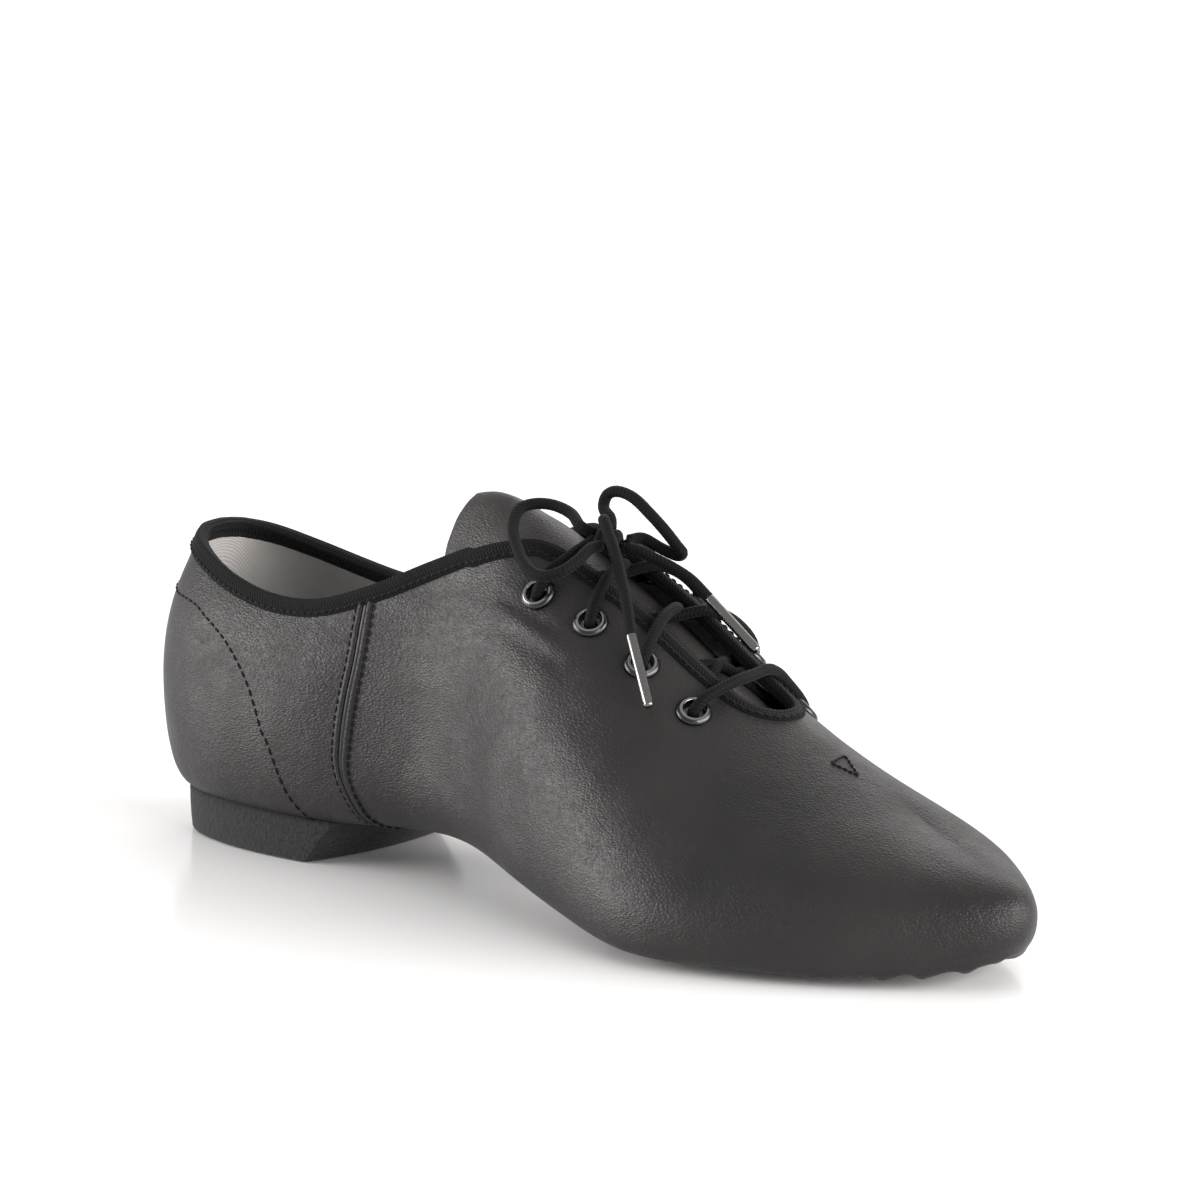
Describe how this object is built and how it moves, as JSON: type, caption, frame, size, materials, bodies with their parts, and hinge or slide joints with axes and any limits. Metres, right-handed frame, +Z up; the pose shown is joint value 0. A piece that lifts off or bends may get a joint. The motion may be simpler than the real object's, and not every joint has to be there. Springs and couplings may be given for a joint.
{
  "type": "jazz shoe",
  "caption": "Soft black leather lace-up jazz shoe for the right foot, with a taped topline, metal eyelets, a split sole and a low block heel.",
  "frame": {"origin": "middle of the heel's resting face, on the floor", "axes": "+X towards the toe, +Z up, -Y on the outer (lateral) side of this right shoe"},
  "size_m": [0.25, 0.0817, 0.092],
  "materials": {
    "leather": "soft fine-grained leather, semi-matte",
    "lining": "grey textile",
    "tape": "knitted black tape",
    "patent": "glossy seam strip",
    "rubber": "matte, slightly grainy",
    "suede": "roughened",
    "gunmetal": "dark plated, glossy",
    "lace": "round braid",
    "aglet": "satin"
  },
  "bodies": {
    "root": {"upper": "leather", "forefoot_sole": "suede", "heel": "rubber", "insole": "lining", "tongue": "leather", "topline_binding": "tape", "side_seam_tape_lateral": "patent", "side_seam_tape_medial": "patent", "lace_bars": "lace", "lace_knot": "lace", "lace_loop_lateral": "lace", "lace_loop_medial": "lace", "lace_end_lateral": "lace", "lace_end_medial": "lace", "aglet_lateral": "aglet", "aglet_medial": "aglet", "eyelet_lateral_1": "gunmetal", "eyelet_lateral_2": "gunmetal", "eyelet_lateral_3": "gunmetal", "eyelet_lateral_4": "gunmetal", "eyelet_medial_1": "gunmetal", "eyelet_medial_2": "gunmetal", "eyelet_medial_3": "gunmetal", "eyelet_medial_4": "gunmetal"}
  },
  "joints": []
}
